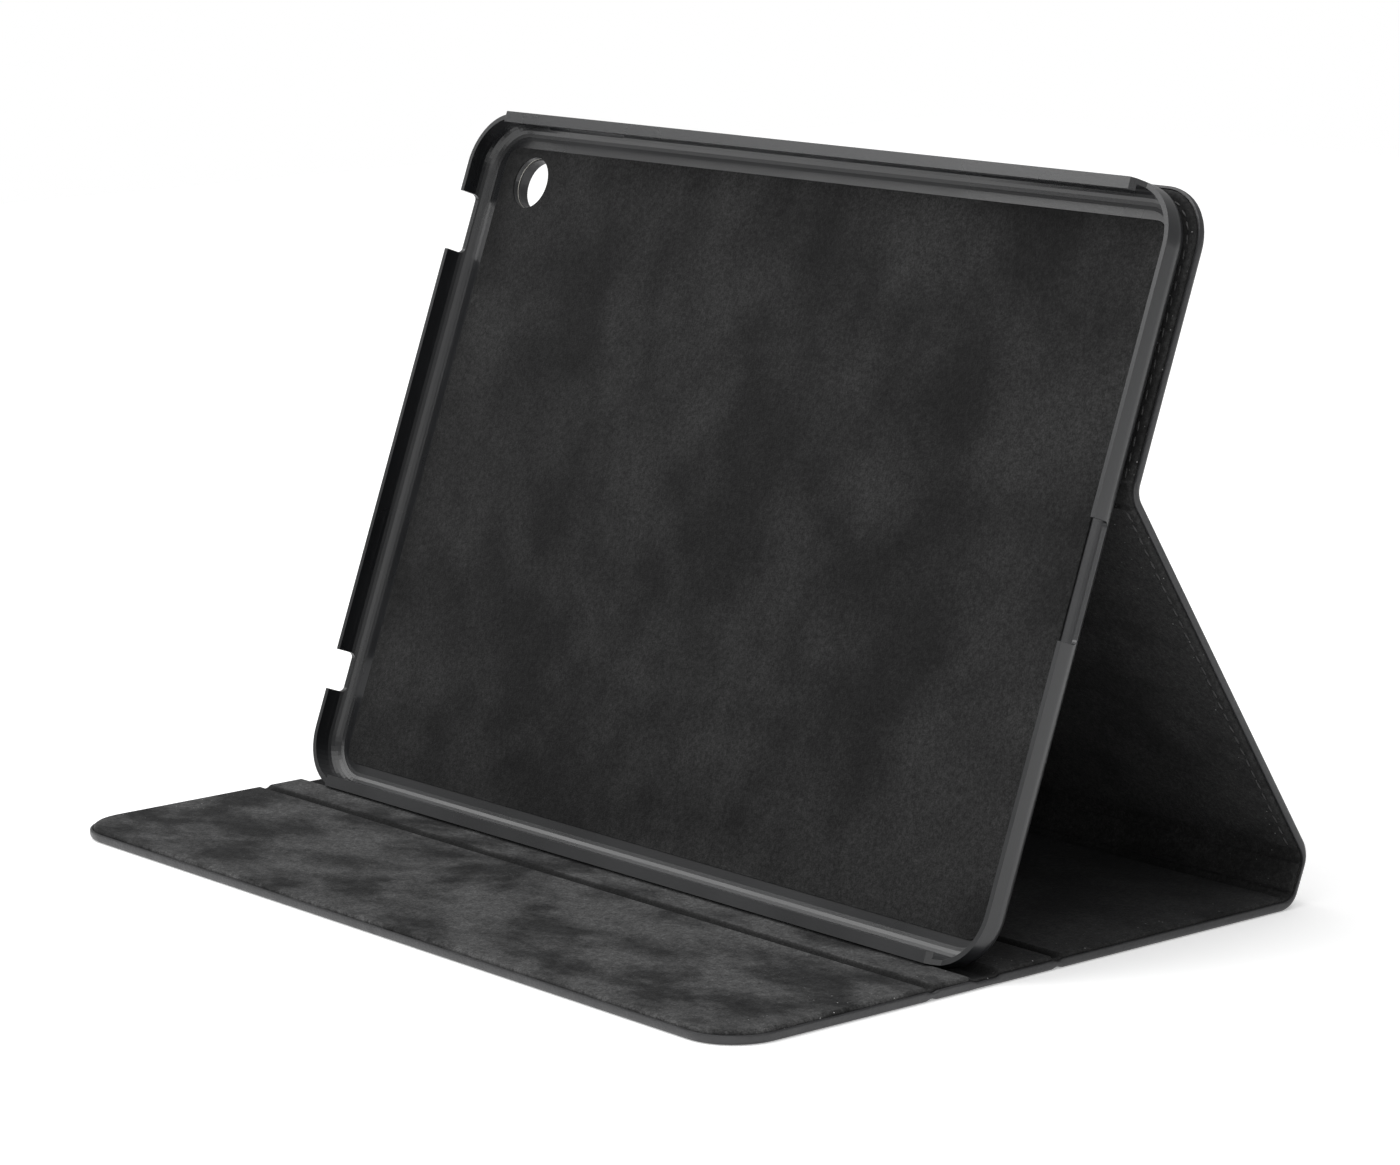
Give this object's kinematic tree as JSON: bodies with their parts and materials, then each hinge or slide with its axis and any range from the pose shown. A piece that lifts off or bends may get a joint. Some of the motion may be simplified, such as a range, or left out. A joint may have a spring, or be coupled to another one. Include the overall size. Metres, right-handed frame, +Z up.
{
  "type": "tablet case",
  "caption": "Folding cover with a moulded snap-in shell that holds a tablet and folds into a stand, leaning it back in a groove of the cover.",
  "frame": {"origin": "on the table, at the middle of the footprint of the standing case", "axes": "+X to the right along the tablet's long side, +Y to the back, +Z up"},
  "size_m": [0.244, 0.1692, 0.1652],
  "materials": {
    "cover_leather": "smooth black coated leather with a fine grain and a soft sheen",
    "suede": "brushed charcoal microfibre suede with a mottled nap",
    "greyboard": "dense grey paper board",
    "shell_plastic": "black moulded polycarbonate, satin inside and glossier on the lips",
    "adhesive": "clear pressure-sensitive film",
    "magnet_steel": "nickel-plated disc",
    "thread": "dark grey polyester thread"
  },
  "bodies": {
    "base": {"rear_groove_skin": "cover_leather", "rear_groove_lining": "suede", "base_skin": "cover_leather", "base_board": "greyboard", "base_lining": "suede", "spine_bottom_crease_skin": "cover_leather", "spine_bottom_crease_lining": "suede"},
    "rear_strip": {"seat_groove_skin": "cover_leather", "seat_groove_lining": "suede", "rear_strip_skin": "cover_leather", "rear_strip_board": "greyboard", "rear_strip_lining": "suede"},
    "front_strip": {"front_groove_skin": "cover_leather", "front_groove_lining": "suede", "front_strip_skin": "cover_leather", "front_strip_board": "greyboard", "front_strip_lining": "suede"},
    "flap": {"flap_skin": "cover_leather", "flap_board": "greyboard", "flap_lining": "suede", "closure_magnets": "magnet_steel"},
    "spine": {"spine_skin": "cover_leather", "spine_board": "greyboard", "spine_lining": "suede", "spine_top_crease_skin": "cover_leather", "spine_top_crease_lining": "suede"},
    "lower_back": {"lower_back_skin": "cover_leather", "lower_back_board": "greyboard", "lower_back_lining": "suede", "lower_back_thread": "thread", "stand_crease_skin": "cover_leather", "stand_crease_lining": "suede"},
    "upper_back": {"shell_tray": "shell_plastic", "shell_pad": "suede", "shell_adhesive": "adhesive", "upper_back_skin": "cover_leather", "upper_back_board": "greyboard", "upper_back_lining": "suede", "upper_back_thread": "thread"}
  },
  "joints": [
    {"name": "spine_bottom_fold", "type": "hinge", "parent": "base", "child": "spine", "pos_m": [0, 0.07976, 0.00101], "axis": [-1, 0, 0], "range_deg": [0, 67.8], "deforming": ["spine_bottom_crease_skin", "spine_bottom_crease_lining"]},
    {"name": "spine_top_fold", "type": "hinge", "parent": "spine", "child": "lower_back", "pos_m": [0, 0.08444, 0.01216], "axis": [-1, 0, 0], "range_deg": [0, 54.21], "deforming": ["spine_top_crease_skin", "spine_top_crease_lining"]},
    {"name": "stand_crease_fold", "type": "hinge", "parent": "lower_back", "child": "upper_back", "pos_m": [0, 0.03089, 0.09942], "axis": [1, 0, 0], "range_deg": [0, 52.51], "deforming": ["stand_crease_skin", "stand_crease_lining"]},
    {"name": "rear_strip_fold", "type": "hinge", "parent": "base", "child": "rear_strip", "pos_m": [0, 0.00768, 0.0019], "axis": [-1, 0, 0], "range_deg": [-30, 0], "deforming": ["rear_groove_skin", "rear_groove_lining"]},
    {"name": "front_strip_fold", "type": "hinge", "parent": "rear_strip", "child": "front_strip", "pos_m": [0, -0.01322, 0.0007], "axis": [-1, 0, 0], "range_deg": [-30, 0], "deforming": ["seat_groove_skin", "seat_groove_lining"]},
    {"name": "flap_fold", "type": "hinge", "parent": "front_strip", "child": "flap", "pos_m": [0, -0.02861, 0.0019], "axis": [-1, 0, 0], "range_deg": [0, 100], "deforming": ["front_groove_skin", "front_groove_lining"]}
  ],
  "couplings": [
    {"joint": "spine_top_fold", "follows": "spine_bottom_fold", "ratio": 0.79941},
    {"joint": "stand_crease_fold", "follows": "spine_bottom_fold", "ratio": 0.77434}
  ]
}
